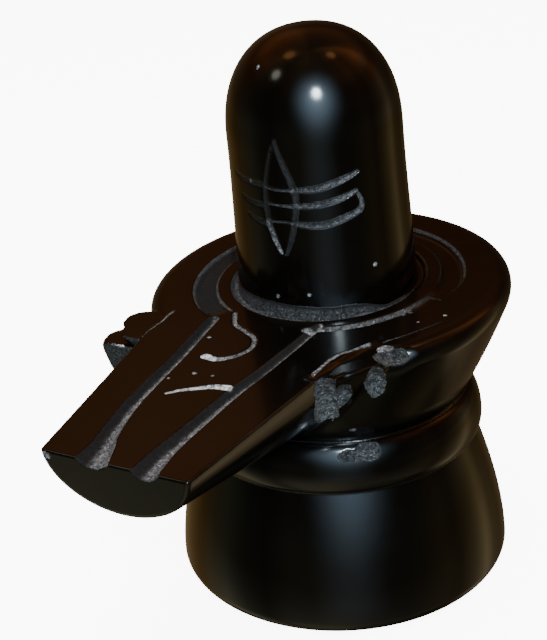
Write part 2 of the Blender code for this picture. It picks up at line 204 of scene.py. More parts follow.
def read_grid(table, u, v):
    """A table's value between its points."""
    i = np.clip(u.astype(int), 0, table.shape[0] - 2)
    j = np.clip(v.astype(int), 0, table.shape[1] - 2)
    u, v = np.clip(u - i, 0, 1), np.clip(v - j, 0, 1)
    near = table[i, j] * (1 - v) + table[i, j + 1] * v
    far = table[i + 1, j] * (1 - v) + table[i + 1, j + 1] * v
    return near * (1 - u) + far * u


def pedestal_outline():
    points = [(-20, NECK_HEIGHT + 3), (NECK_RADIUS - 2.5, NECK_HEIGHT + 3), (NECK_RADIUS - 2.5, NECK_HEIGHT)]
    for i in range(25):
        share = (1 + math.cos(math.pi * i / 24)) / 2
        radius = mix(WAIST_RADIUS, NECK_RADIUS, share) + RING_BULGE * math.sin(math.pi * i / 24)
        points.append((radius, mix(WAIST_HEIGHT, NECK_HEIGHT, share)))
    waist, bend = np.array((WAIST_RADIUS, WAIST_HEIGHT)), np.array(FLARE_BEND)
    foot = np.array((FOOT_RADIUS, FOOT_ROUNDING))
    for i in range(1, 25):
        points.append(tuple(mix(mix(waist, bend, i / 24), mix(bend, foot, i / 24), i / 24)))
    for i in range(1, 10):
        turn = math.pi / 2 * i / 9
        radius = FOOT_RADIUS - FOOT_ROUNDING * (1 - math.cos(turn))
        points.append((radius, FOOT_ROUNDING * (1 - math.sin(turn))))
    return points + [(-20, 0)]


class Relief:
    """Depth, roughness and lightness of what is cut into a surface, on a flat grid."""

    def __init__(self, low, high, step=0.12):
        self.low, self.step = np.array(low, float), step
        self.x = np.arange(low[0], high[0], step)
        self.y = np.arange(low[1], high[1], step)
        self.depth = np.zeros((len(self.x), len(self.y)))
        self.rough = np.zeros_like(self.depth)
        self.tone = np.zeros_like(self.depth)

    def cut(self, route, flat=0.0, rough=1.0, tone=(0.2, 0.2), floor=1.0, spread=1.12, shadow=0.0):
        """Cuts a groove along (x, y, half width, depth) points, flat over that share of its width.

        Its floor has the share of its walls' roughness in floor, its tone runs from the first value to the
        last, and its right-hand side, looking along it, is darker by the share in shadow: painted shade
        standing for the shadow on that wall.
        """
        reach = np.full(self.depth.shape, np.inf)
        deepest = np.zeros_like(self.depth)
        shade = np.zeros_like(self.depth)
        for i, (a, b) in enumerate(zip(route, route[1:])):
            a, b = np.array(a, float), np.array(b, float)
            margin = 1.5 * max(a[2], b[2]) + 0.5
            spans = []
            for axis, marks in ((0, self.x), (1, self.y)):
                ends = sorted((a[axis], b[axis]))
                spans.append(slice(*np.searchsorted(marks, (ends[0] - margin, ends[1] + margin))))
            window = tuple(spans)
            x, y = np.meshgrid(self.x[spans[0]], self.y[spans[1]], indexing="ij")
            run = b[:2] - a[:2]
            along = np.clip(((x - a[0]) * run[0] + (y - a[1]) * run[1]) / (run @ run), 0, 1)
            away = np.hypot(x - a[0] - along * run[0], y - a[1] - along * run[1]) / mix(a[2], b[2], along)
            closer = away < reach[window]
            reach[window] = np.where(closer, away, reach[window])
            deepest[window] = np.where(closer, mix(a[3], b[3], along), deepest[window])
            lit = mix(*tone, (i + along) / (len(route) - 1))
            # Painted shade: the right-hand wall, looking along the groove, is darkened to stand for its
            # shadow
            if shadow:
                side = ((x - a[0]) * run[1] - (y - a[1]) * run[0]) / np.hypot(*run) / mix(a[2], b[2], along)
                lit = lit * (1 - shadow * ramp(side, 0.0, 0.55))
            shade[window] = np.where(closer, lit, shade[window])
        fall = np.clip((reach - flat) / (1 - flat), 0, 1)
        self.depth = np.maximum(self.depth, deepest * (1 - fall * fall))
        rough = rough * (1 - ramp(reach, spread - 0.25, spread)) * mix(floor, 1, ramp(reach, 0.4, 0.75))
        self.tone = np.where(rough > np.maximum(self.rough, 0.02), shade, self.tone)
        self.rough = np.maximum(self.rough, rough)

    def pit(self, x, y, radius, depth, tone):
        self.cut([(x, y, radius, depth), (x + 0.1, y, radius, depth)], tone=(tone, tone))

    def soften(self):
        for table in (self.depth, self.rough, self.tone):
            blur(table)

    def at(self, table, x, y):
        return read_grid(table, (x - self.low[0]) / self.step, (y - self.low[1]) / self.step)


def curve_through(points, count=40):
    """Evenly spread points on a smooth curve through the given ones."""
    points = np.array(points, float)
    padded = np.vstack([2 * points[0] - points[1], points, 2 * points[-1] - points[-2]])
    found = []
    for i in range(count + 1):
        place = i / count * (len(points) - 1)
        k = min(int(place), len(points) - 2)
        t = place - k
        a, b, c, d = padded[k : k + 4]
        square, cube = 2 * a - 5 * b + 4 * c - d, 3 * b - a - 3 * c + d
        found.append(0.5 * (2 * b + (c - a) * t + square * t**2 + cube * t**3))
    return found


def arc(shape_at, first, last, count):
    """A groove around the linga's foot, whose radius, half width and depth follow from the angle."""
    route = []
    for i in range(count + 1):
        angle = mix(first, last, i / count)
        turn = math.radians(angle)
        radius, half, depth = shape_at(angle)
        route.append((radius * math.cos(turn), radius * math.sin(turn), half, depth))
    return route


def moat(angle):
    """The moat's radius, half width and depth at an angle."""
    wide = float(ramp(angle, *MOAT_WIDENS))
    return mix(*MOAT_RADII, wide), mix(*MOAT_HALVES, wide), MOAT_DEPTH * float(1 - ramp(angle, *MOAT_FADES))


def top_relief():
    """The carving on the yoni's top."""
    relief = Relief((-46, -90), (46, 46))

    def score(points, half, depth, **look):
        relief.cut(curve_through([(*point, half, depth) for point in points]), **look)

    relief.cut(arc(lambda angle: FOOT_GROOVE, 0, 360, 90), flat=0.3, rough=0.0)
    relief.cut(arc(lambda angle: FOOT_GROOVE, -205, -66, 60), flat=0.3, tone=(0.20, 0.25))
    for first, last, steps, flat, rough, floor, tone in MOAT_STRETCHES:
        relief.cut(arc(moat, first, last, steps), flat=flat, rough=rough, floor=floor, tone=tone)
    relief.cut(arc(lambda angle: OUTER_LINE, 14, 228, 90), rough=0.85, tone=(0.20, 0.24))
    relief.cut(arc(lambda angle: INNER_LINE, 150, 240, 40), tone=(0.22, 0.28))
    shoulder = [(16.6, -40.5), (17.0, -38.1), (17.4, -34.6), (18.3, -31.9), (19.7, -30.2), (20.9, -28.1)]
    score(shoulder + [(22.1, -26.1)], 0.34, 0.08, tone=(0.45, 0.40))
    rim = [(24.4, -24.9), (26.8, -22.0), (29.5, -18.1), (32.4, -13.4)]
    score(rim, 0.28, 0.05, rough=0.7, tone=(0.26, 0.06))
    ledge = [(-24.9, -25.4), (-25.2, -28.0), (-25.2, -30.8), (-25.2, -33.2), (-25.5, -35.2), (-25.6, -36.8)]
    score(ledge, 0.36, 0.12, rough=0.8, tone=(0.36, 0.34))

    # The two channels along the spout, with painted shade darkening their walls towards -x
    left = [(-14.6, -26, 1.3, 1.2), (-14.0, -32, 1.3, 1.4), (-13.0, -42, 1.4, 1.4), (-12.4, -52, 1.5, 1.4)]
    left += [(-11.6, -62, 1.7, 1.4), (-9.6, -72, 2.0, 1.4), (-8.4, -76, 2.6, 1.4), (-7.4, -81.5, 3.7, 1.5)]
    relief.cut(curve_through(left), flat=0.15, tone=(0.38, 0.34), shadow=0.85)
    right = [(8.8, -22.5, 1.1, 1.0), (8.0, -31, 1.1, 1.3), (6.8, -42, 1.2, 1.4), (5.2, -52, 1.5, 1.4)]
    right += [(4.4, -62, 1.7, 1.4), (3.7, -71, 2.0, 1.4), (3.6, -76, 2.4, 1.4), (3.9, -81.5, 2.9, 1.5)]
    relief.cut(curve_through(right), flat=0.15, tone=(0.44, 0.32), shadow=0.85)

    hook = [(-11.2, -22.4, 0.5, 0.5), (-8.6, -26.8, 0.5, 0.5), (-5.0, -29.0, 0.5, 0.5)]
    hook += [(-1.6, -31.2, 0.5, 0.5), (-0.2, -35.0, 0.5, 0.5), (-1.6, -38.8, 0.6, 0.55)]
    hook += [(-4.6, -41.2, 0.75, 0.6), (-7.6, -40.8, 1.0, 0.6)]
    hook = curve_through(hook)
    relief.cut(hook[:30], tone=(0.42, 0.36))
    relief.cut(hook[29:], tone=(0.36, 0.90))
    stroke = [(-7.4, -56.0, 0.3, 0.3), (-5.3, -54.1, 0.45, 0.4), (-2.5, -52.4, 0.6, 0.5)]
    stroke += [(0.2, -50.9, 0.8, 0.5), (3.2, -50.4, 1.0, 0.5)]
    relief.cut(curve_through(stroke, 20), tone=(0.75, 0.9))
    for pit in TOP_PITS:
        relief.pit(*pit)
    relief.soften()
    return relief


def linga_relief():
    """The stripes and the eye on the linga, over the angle from the spout's side and the height on the linga.

    The angle is laid out as the length that it spans on the shaft.
    """
    relief = Relief((-32, 0), (32, LINGA_HEIGHT))

    def lay(places, widths, depth, tone, rough=1.0):
        points = []
        for (angle, height), width in zip(places, widths):
            points.append((math.radians(angle) * LINGA_DOME_RADIUS, height - YONI_TOP, width / 2, depth))
        relief.cut(curve_through(points), rough=rough, tone=tone)

    upper = [(-8, 95.2), (4, 94.8), (14, 94.9), (26, 95.0), (38, 95.9), (46, 96.6), (53, 97.4)]
    lay(upper, [0.5, 0.6, 1.1, 1.3, 1.3, 1.1, 0.7], 0.45, (0.26, 0.46))
    middle = [(-7, 91.9), (4, 91.6), (16, 91.5), (28, 91.7), (40, 92.4), (51, 93.5)]
    lay(middle, [0.5, 0.6, 1.2, 1.2, 1.2, 0.8], 0.42, (0.26, 0.46))
    lower = [(-7, 88.2), (6, 88.1), (16, 87.6), (28, 87.3), (39, 88.0), (47, 88.7)]
    lower += [(52.5, 89.5), (54, 91.0), (52, 92.8)]
    lay(lower, [0.5, 0.6, 1.2, 1.4, 1.4, 1.3, 1.2, 1.0, 0.8], 0.45, (0.26, 0.44))
    for start, end, height in ((-37, -9, 97.0), (-30, -9, 92.6), (-24, -9, 88.9)):
        places = [(mix(start, end, i / 3), height - 1.3 * i / 3 * (2 - i / 3)) for i in range(4)]
        lay(places, [0.7, 1.0, 1.2, 1.3], 0.22, (0.05, 0.10), 0.55)
    right = [(2, 105.1), (4, 102.5), (7, 99.8), (11, 96.3), (13, 93.0), (11.5, 88.7), (8, 84.4), (4, 81.2)]
    lay(right, [0.7, 1.0, 1.2, 1.3, 1.4, 1.3, 1.2, 0.8], 0.42, (0.16, 0.15), 0.8)
    left = [(0, 104.0), (-4, 100.4), (-7.2, 96.5), (-8.2, 92.5), (-7.4, 88.0), (-3.6, 84.4), (0.5, 81.4)]
    lay(left[:5], [0.5, 0.7, 1.0, 1.3, 1.4], 0.40, (0.02, 0.08), 0.6)
    lay(left[4:], [1.4, 1.3, 0.8], 0.40, (0.30, 0.66), 0.9)
    for angle, height, radius in LINGA_PITS:
        around = math.radians(angle) * LINGA_DOME_RADIUS
        relief.pit(around, height - YONI_TOP, radius, LINGA_PIT_DEPTH, PIT_TONE)
    relief.soften()
    return relief


class Flake:
    """The uneven hollow of a broken-off flake: a squashed ball that dips into the surface at a place."""

    def __init__(self, place, outward, along, half_length, half_width, depth, tone, seed):
        normal = np.array(outward, float) / np.linalg.norm(outward)
        length = np.array(along, float) - normal * (normal @ np.array(along, float))
        length /= np.linalg.norm(length)
        self.frame = np.column_stack([length, np.cross(normal, length), normal])
        spread = math.sqrt(1 - ((FLAKE_HEIGHT - depth) / FLAKE_HEIGHT) ** 2)
        self.radii = np.array([half_length / spread, half_width / spread, FLAKE_HEIGHT])
        self.centre = np.array(place, float) + normal * (FLAKE_HEIGHT - depth)
        self.tone, self.seed, self.uneven = tone, seed, min(1.2 * depth, 1)

    def near(self, points):
        return np.linalg.norm(points - self.centre, axis=1) < self.radii.max() + 1.5

    def __call__(self, points):
        local = (points - self.centre) @ self.frame / self.radii
        size = np.linalg.norm(local, axis=1)
        slope = np.linalg.norm(local / self.radii, axis=1)
        uneven = 0.22 * waves(points, 2.4, self.seed) + 0.08 * waves(points, 0.9, self.seed + 50)
        return (size - 1) * size / np.maximum(slope, 0.02) + self.uneven * uneven


# The broken places: where, the way that each faces, its long way, half length, half width, depth and tone
FLAKES = [
    ((16.2, -35.2, 57.0), (0.60, -0.62, -0.50), (-3.8, 9.2, -14.5), 9.0, 2.1, 0.9, 0.52),
    ((19.4, -33.8, 59.1), (0.45, -0.80, -0.42), (-1.0, 1.8, -3.2), 3.2, 1.2, 0.6, 0.40),
    ((24.7, -30.3, 61.8), (0.65, -0.55, -0.52), (-0.8, 2.5, -6.0), 3.9, 1.7, 0.8, 0.42),
    ((26.8, -26.7, 65.3), (0.45, -0.65, 0.60), (1.0, 0.35, -0.15), 2.2, 1.3, 0.45, 0.22),
    ((25.0, -26.3, 66.5), (0.20, -0.40, 0.90), (1.0, 0.20, 0.0), 1.4, 0.7, 0.3, 0.42),
    ((19.9, -25.1, 41.6), (0.53, -0.69, 0.49), (0.79, 0.61, 0.0), 2.4, 2.0, 0.8, 0.34),
    ((16.8, -27.6, 41.1), (0.45, -0.77, 0.46), (0.86, 0.50, -0.1), 2.0, 1.0, 0.5, 0.30),
    ((12.9, -80.2, 63.7), (0.50, -0.60, 0.60), (0.60, 0.60, 0.50), 1.8, 1.1, 0.6, 0.58),
    ((-17.6, -80.1, 62.3), (-0.20, -0.90, 0.40), (1.0, 0.0, 0.0), 0.6, 0.4, 0.25, 0.60),
    ((-30.9, -38.0, 63.6), (0.0, -0.70, 0.70), (1.0, 0.0, 0.0), 1.1, 0.5, 0.3, 0.95),
    ((-32.9, -37.9, 63.4), (0.0, -0.70, 0.70), (1.0, 0.0, 0.0), 0.7, 0.4, 0.3, 0.90),
    ((17.7, -27.0, 47.2), (0.48, -0.73, -0.48), (1.0, 0.5, 0.0), 0.5, 0.3, 0.25, 0.45),
]


class Stone:
    """Signed distance, in millimetres, to the carved stone."""

    def __init__(self):
        self.pedestal = Profile(pedestal_outline())
        self.top = top_relief()
        self.marks = linga_relief()
        self.chips = [Flake(*row, seed=20 + i) for i, row in enumerate(FLAKES)]

    def in_yoni(self, points):
        cos, sin = math.cos(TOP_SLOPE), math.sin(TOP_SLOPE)
        y, z = points[:, 1], points[:, 2] - YONI_TOP
        return points[:, 0], y * cos + z * sin, z * cos - y * sin

    def in_linga(self, points):
        cos, sin = math.cos(LINGA_LEAN), math.sin(LINGA_LEAN)
        x, z = points[:, 0], points[:, 2] - YONI_TOP + LINGA_PIVOT
        x, z = x * cos + z * sin, z * cos - x * sin
        height = z - LINGA_PIVOT
        radius = np.hypot(x, points[:, 1])
        around = np.arctan2(x, -points[:, 1]) * LINGA_DOME_RADIUS
        return radius, around, height

    def linga(self, points):
        radius, around, height = self.in_linga(points)
        spring = LINGA_HEIGHT - DOME_HEIGHT
        share = np.clip(height / spring, 0, 1)
        taper = (1 + SHAFT_SWELL) * share - SHAFT_SWELL * share**5
        wide = mix(LINGA_FOOT_RADIUS, LINGA_DOME_RADIUS, taper)
        rise = np.maximum(height - spring, 0) / DOME_HEIGHT
        out = radius / wide
        size = (out**DOME_FULLNESS + rise**DOME_FULLNESS) ** (1 / DOME_FULLNESS)
        slope = np.hypot(out ** (DOME_FULLNESS - 1) / wide, rise ** (DOME_FULLNESS - 1) / DOME_HEIGHT)
        distance = (size - 1) * size ** (DOME_FULLNESS - 1) / np.maximum(slope, 0.02)
        return distance + self.marks.at(self.marks.depth, around, height)

    def bowl_side(self, points, top_height):
        """Distance to the bowl's wall, turned about the upright axis and reaching up to the sloping top."""
        radius = np.hypot(points[:, 0], points[:, 1])
        share = (points[:, 2] - NECK_HEIGHT) / (top_height - NECK_HEIGHT)
        bulge = BOWL_BULGE * np.sin(math.pi * np.clip(share, 0, 1))
        wall = mix(NECK_RADIUS, BOWL_EDGE_RADIUS, share) + bulge
        wall = np.where(share < 0, NECK_RADIUS - NECK_INSET, wall)
        return (radius - wall) * BOWL_STEEPNESS

    def spout_side(self, x, along, z):
        half = SPOUT_TIP_WIDTH / 2 + (SPOUT_LENGTH - along) * SPOUT_TAPER
        deep = SPOUT_TIP_DEPTH + (SPOUT_LENGTH - along) * SPOUT_DEEPENING
        out, down = np.abs(x) / half, np.maximum(-z, 0) / deep
        n = SPOUT_FULLNESS
        size = np.maximum((out**n + down**n) ** (1 / n), 0.05)
        slope = np.hypot(out ** (n - 1) / half, down ** (n - 1) / deep)
        return (size - 1) * size ** (n - 1) / np.maximum(slope, 0.005)

    def knob(self, x, along, z):
        """The shoulder knobs on both sides of the spout, which taper down and back into the bowl's wall."""
        share = np.clip(-z / KNOB_DEPTH, 0, 1)
        scale = 1 - KNOB_TAPER * share
        side = np.abs(x - SPOUT_OFFSET * share)
        right = (x > 0).astype(int)
        lobes = []
        for across, forward in KNOB_LOBES + (KNOB_BEVEL_LOBE,):
            centre_x = KNOB_ANCHOR[0] + (across - KNOB_ANCHOR[0]) * scale - KNOB_LEAN * share
            centre_along = KNOB_ANCHOR[1] + (forward - KNOB_ANCHOR[1]) * scale - KNOB_LEAN_BACK * share
            lobes.append(np.hypot(side - centre_x, along - centre_along) - KNOB_RADIUS * scale)
        outline = smooth_min(lobes[0], lobes[1], KNOB_NOTCH)
        outline = np.where(right, smooth_min(outline, lobes[2], KNOB_BEVEL_NOTCH), outline)
        outline = smooth_max(outline, -z - KNOB_DEPTH, KNOB_FOOT_ROUNDING)
        knob = round_max(outline, z + np.take(KNOB_STEPS, right), np.take(KNOB_ROUNDINGS, right))
        turned = side * math.sin(KNOB_BEVEL_TURN) + along * math.cos(KNOB_BEVEL_TURN)
        bevel = turned - KNOB_BEVEL + KNOB_BEVEL_SLOPE * np.maximum(-z - KNOB_BEVEL_TOP, 0)
        front = np.where(right, bevel, along - KNOB_FRONT - KNOB_FRONT_SLOPE * z)
        knob = smooth_max(knob, front, KNOB_FRONT_ROUNDING)
        return smooth_min(knob, self.left_lobe(x, along, z), LEFT_LOBE_JOIN)

    def left_lobe(self, x, along, z):
        """The lower lobe in front of the left knob."""
        aside = x + LEFT_LOBE[0] + LEFT_LOBE_LEAN * (z + LEFT_LOBE_TOP)
        lobe = np.hypot(aside, along - LEFT_LOBE[1]) - LEFT_LOBE_RADIUS
        lobe = round_max(lobe, z + LEFT_LOBE_TOP, LEFT_LOBE_ROUNDING)
        front = along - KNOB_FRONT - LEFT_LOBE_FRONT - LEFT_LOBE_FRONT_SLOPE * z
        lobe = smooth_max(lobe, front, KNOB_FRONT_ROUNDING)
        return smooth_max(lobe, -z - LEFT_LOBE_DEPTH, LEFT_LOBE_FOOT_ROUNDING)

    def shoulder(self, x, along):
        """How far the top drops beyond the line where the right knob begins."""
        line = x - mix(*SHOULDER_SIDES, (along - SHOULDER_START) / SHOULDER_RUN)
        drop = SHOULDER_DROP * ramp(line, *SHOULDER_SOFTNESS) * ramp(along, *SHOULDER_COMES)
        return drop * (1 - ramp(along, *SHOULDER_GOES))

    def yoni(self, points):
        x, y, z = self.in_yoni(points)
        x_spout, along = x + SPOUT_OFFSET, -y
        top_height = YONI_TOP + points[:, 1] * math.tan(TOP_SLOPE)
        bowl = self.bowl_side(points, top_height)
        spout = self.spout_side(x_spout, along, z)
        spout = smooth_max(spout, along - SPOUT_LENGTH, SPOUT_END_ROUNDING)
        spout = np.maximum(spout, SPOUT_ROOT - along)
        side = smooth_min(bowl, spout, SPOUT_JOIN)
        edge = mix(SPOUT_EDGE, RIM_ROUNDING, ramp(spout - bowl, *EDGE_CHANGES))
        depth = self.top.at(self.top.depth, x, y) + self.shoulder(x_spout, along)
        body = round_max(side, z + depth, edge)
        knob = self.knob(x_spout, along, z)
        return smooth_min(body, knob, KNOB_JOIN)

    def __call__(self, points):
        radius = np.hypot(points[:, 0], points[:, 1])
        body = smooth_min(self.pedestal.at(radius, points[:, 2]), self.yoni(points), PEDESTAL_JOIN)
        distance = smooth_min(body, self.linga(points), LINGA_JOIN)
        for flake in self.chips:
            near = flake.near(points)
            if near.any():
                distance[near] = smooth_max(distance[near], -flake(points[near]), FLAKE_EDGE)
        return distance

    def slope(self, points, step=0.08):
        """Distance and its gradient, by differences over four corners."""
        corners = np.array([(1, -1, -1), (-1, -1, 1), (-1, 1, -1), (1, 1, 1)], float)
        values = [self(points + corner * step) for corner in corners]
        gradient = sum(corner[None] * value[:, None] for corner, value in zip(corners, values)) / (4 * step)
        return sum(values) / 4, gradient


def settle(stone, points, most):
    """The points moved straight to the stone's surface, but no further than most, and their normals."""
    distance, gradient = stone.slope(points)
    square = np.maximum((gradient**2).sum(axis=1), 0.2)
    step = np.clip(distance / np.sqrt(square), -most, most) / np.sqrt(square)
    return points - gradient * step[:, None], gradient / np.sqrt(square)[:, None]


def relax(points, normals, edges, share=0.5):
    """Evens out the mesh by sliding points along the surface."""
    total = np.zeros_like(points)
    for axis in range(3):
        for a, b in ((0, 1), (1, 0)):
            total[:, axis] += np.bincount(edges[:, a], points[edges[:, b], axis], len(points))
    count = np.bincount(edges.ravel(), minlength=len(points))
    pull = total / np.maximum(count, 1)[:, None] - points
    pull -= normals * (pull * normals).sum(axis=1)[:, None]
    return points + share * pull


def read_points(mesh):
    flat = np.empty(len(mesh.vertices) * 3)
    mesh.vertices.foreach_get("co", flat)
    return flat.reshape(-1, 3) / MM


def write_points(mesh, points):
    mesh.vertices.foreach_set("co", (points * MM).ravel())
    mesh.update()


def read_edges(mesh):
    flat = np.empty(len(mesh.edges) * 2, int)
    mesh.edges.foreach_get("vertices", flat)
    return flat.reshape(-1, 2)


def with_modifier(mesh, kind, **settings):
    """The mesh with one modifier applied."""
    obj = bpy.data.objects.new("work", mesh)
    bpy.context.scene.collection.objects.link(obj)
    modifier = obj.modifiers.new(kind, kind)
    for name, value in settings.items():
        setattr(modifier, name, value)
    graph = bpy.context.evaluated_depsgraph_get()
    made = bpy.data.meshes.new_from_object(obj.evaluated_get(graph))
    bpy.data.objects.remove(obj)
    return made


def add_attribute(mesh, name, values):
    mesh.attributes.new(name, "FLOAT", "POINT").data.foreach_set("value", values.astype(np.float32))


def starting_mesh(node):
    """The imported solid, with a ball where the left knob's lower lobe is to be."""
    shape = bmesh.new()
    shape.from_mesh(node.data)
    place = Matrix.Translation(Vector(LOBE_BALL) * MM)
    bmesh.ops.create_icosphere(shape, subdivisions=3, radius=LOBE_BALL_RADIUS * MM, matrix=place)
    mesh = bpy.data.meshes.new("start")
    shape.to_mesh(mesh)
    shape.free()
    return mesh


def carve(node, stone):
    """The stone as one fine closed mesh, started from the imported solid."""
    mesh = starting_mesh(node)
    fine = VOXEL
    for voxel, reach in ((COARSE_VOXEL, COARSE_REACH), (fine, FINE_REACH)):
        mesh = with_modifier(mesh, "REMESH", mode="VOXEL", voxel_size=voxel * MM)
        points, edges = read_points(mesh), read_edges(mesh)
        for _ in range(3):
            points, normals = settle(stone, points, reach)
            points = relax(points, normals, edges)
        for _ in range(2):
            points, normals = settle(stone, points, reach)
        write_points(mesh, points)
    triangles = sum(len(face.vertices) - 2 for face in mesh.polygons)
    if triangles > MOST_TRIANGLES:
        mesh = with_modifier(mesh, "DECIMATE", ratio=MOST_TRIANGLES / triangles)
    points = read_points(mesh)
    for _ in range(2):
        points, normals = settle(stone, points, LAST_REACH)
    low, high = (np.array(corner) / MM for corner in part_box(node.name))
    points = np.clip(points, low, high)
    write_points(mesh, points)
    paint_masks(mesh, stone, points, normals)
    mesh.polygons.foreach_set("use_smooth", np.ones(len(mesh.polygons), bool))
    mesh.normals_split_custom_set_from_vertices(normals.astype(np.float32))
    return mesh


# The end of the spout, the left knob's lower front and the underside are rough: by how much, and how light
SPOUT_END_LOOK = (0.22, 0.06)
LOBE_FRONT_TONE, UNDERSIDE_TONE = 0.28, 0.35
LOBE_FRONT_REACH, LOBE_FRONT_SIDE, LOBE_FRONT_BOTTOM = 4, -23.5, -13
# A broken place is rough up to this distance from its hollow
FLAKE_ROUGH = (0.10, 0.26)
# How far apart points are compared for the bend of the surface, and the bend that counts as a full edge
BEND_REACH, FULL_BEND = 0.45, 4
FOOT_REACH, FOOT_BOTTOM, NOT_AT_FOOT = 0.7, -3, 9.0
FOOT_TONE = 0.26


def paint_masks(mesh, stone, points, normals):
    """Stores, point by point, what the stone's material needs.

    That is where the stone is rough, how light it is there, how high a point is over the linga's foot, and
    where the edges are worn.
    """
    x, y, z = stone.in_yoni(points)
    radius, around, height = stone.in_linga(points)
    on_linga = (height > 0.6) & (radius < LINGA_FOOT_RADIUS + 0.4)
    on_linga |= (height > -1.0) & (radius < LINGA_FOOT_RADIUS + 0.2)
    depth = stone.top.at(stone.top.depth, x, y)
    on_top = (z > -1.5 - depth) & ((-y < SPOUT_LENGTH - 0.5) | (z > -0.3 - depth))
    rough = stone.top.at(stone.top.rough, x, y) * on_top
    tone = stone.top.at(stone.top.tone, x, y)
    rough = np.where(on_linga, stone.marks.at(stone.marks.rough, around, height), rough)
    tone = np.where(on_linga, stone.marks.at(stone.marks.tone, around, height), tone)

    def lay(mask, shade):
        nonlocal rough, tone
        tone = np.where(mask > rough, shade, tone)
        rough = np.maximum(rough, mask)

    share, shade = SPOUT_END_LOOK
    lay(share * ramp(-y, SPOUT_LENGTH - 0.5, SPOUT_LENGTH - 0.15), shade)
    facing = ramp(-normals[:, 1], 0.75, 0.9) * (np.abs(-y - KNOB_FRONT) < LOBE_FRONT_REACH)
    lay(facing * (x < LOBE_FRONT_SIDE) * (z > LOBE_FRONT_BOTTOM), LOBE_FRONT_TONE)
    lay(1 - ramp(points[:, 2], 0.05, 0.5), UNDERSIDE_TONE)
    for flake in stone.chips:
        lay(1 - ramp(flake(points), *FLAKE_ROUGH), flake.tone)
    ways = np.vstack([np.eye(3), -np.eye(3)])
    bend = sum(stone(points + BEND_REACH * way) for way in ways) / BEND_REACH**2
    at_foot = (radius < LINGA_FOOT_RADIUS + FOOT_REACH) & (z > FOOT_BOTTOM)
    # The polish reaches lower on the right of the linga's foot, and behind it on the left
    polished = 1.1 * ramp(around, -8, 12) + 2 * ramp(around, 14, 22) + 3 * ramp(-around, 38, 46)
    foot = np.where(at_foot, height + 0.15 * waves(points, 5, 4) + polished, NOT_AT_FOOT)
    add_attribute(mesh, "foot", foot)
    add_attribute(mesh, "rough", np.clip(rough, 0, 1))
    add_attribute(mesh, "tone", np.clip(tone, 0, 1))
    add_attribute(mesh, "wear", np.clip(bend / FULL_BEND, 0, 1))


class Nodes:
    """Short calls for building a node tree."""

    def __init__(self, tree):
        self.tree = tree
        self.coordinates = self.add("ShaderNodeTexCoord")

    def add(self, kind, inputs=None, **settings):
        node = self.tree.nodes.new(kind)
        for name, value in settings.items():
            setattr(node, name, value)
        for name, value in (inputs or {}).items():
            self.feed(node.inputs[name], value)
        return node

    def feed(self, socket, value):
        if isinstance(value, bpy.types.NodeSocket):
            self.tree.links.new(value, socket)
        else:
            socket.default_value = value

    def value(self, name):
        return self.add("ShaderNodeAttribute", attribute_name=name).outputs["Fac"]

    def math(self, operation, a, b=0.0):
        return self.add("ShaderNodeMath", {0: a, 1: b}, operation=operation).outputs[0]

    def remap(self, value, low, high, first=0.0, last=1.0):
        inputs = {"Value": value, "From Min": low, "From Max": high, "To Min": first, "To Max": last}
        return self.add("ShaderNodeMapRange", inputs).outputs["Result"]

    def noise(self, scale, detail, roughness=0.5):
        inputs = {"Scale": scale, "Detail": detail, "Roughness": roughness}
        inputs["Vector"] = self.coordinates.outputs["Object"]
        return self.add("ShaderNodeTexNoise", inputs).outputs["Fac"]

    def blend(self, share, first, last, how="MIX"):
        node = self.add("ShaderNodeMix", data_type="RGBA", blend_type=how)
        self.feed(node.inputs[0], share)
        self.feed(node.inputs[6], first)
        self.feed(node.inputs[7], last)
        return node.outputs[2]

    def colours(self, value, stops):
        """A colour ramp over a value through (place, colour) stops."""
        node = self.add("ShaderNodeValToRGB", {"Fac": value})
        band = node.color_ramp.elements
        while len(band) < len(stops):
            band.new(1.0)
        for element, (place, colour) in zip(band, stops):
            element.position = place
            element.color = (*colour, 1)
        return node.outputs["Color"]


def new_material(name):
    material = bpy.data.materials.new(name)
    material.use_nodes = True
    return material, Nodes(material.node_tree), material.node_tree.nodes["Principled BSDF"]


# The stone's grain in noise scales, from the finest to the broadest
SPARKLE_SCALE, GRAIN_SCALE, SMUDGE_SCALE, CLOUD_SCALE = 3300, 1400, 160, 70
POLISHED = (0.0008, 0.0006, 0.0004, 1), (0.0020, 0.0015, 0.0010, 1)
WORN = (0.020, 0.017, 0.013, 1)
# A cut in its darkest and lightest tone, between its grains and on them
CUT_HOLLOWS = (0.0009, 0.0006, 0.0003, 1), (0.07, 0.07, 0.072, 1)
CUT_GRAINS = (0.0030, 0.0017, 0.0008, 1), (0.54, 0.54, 0.55, 1)
SPARKLES = (0.60, 0.61, 0.63, 1)
POLISH_ROUGHNESS, CUT_ROUGHNESS = (0.11, 0.19), 0.9


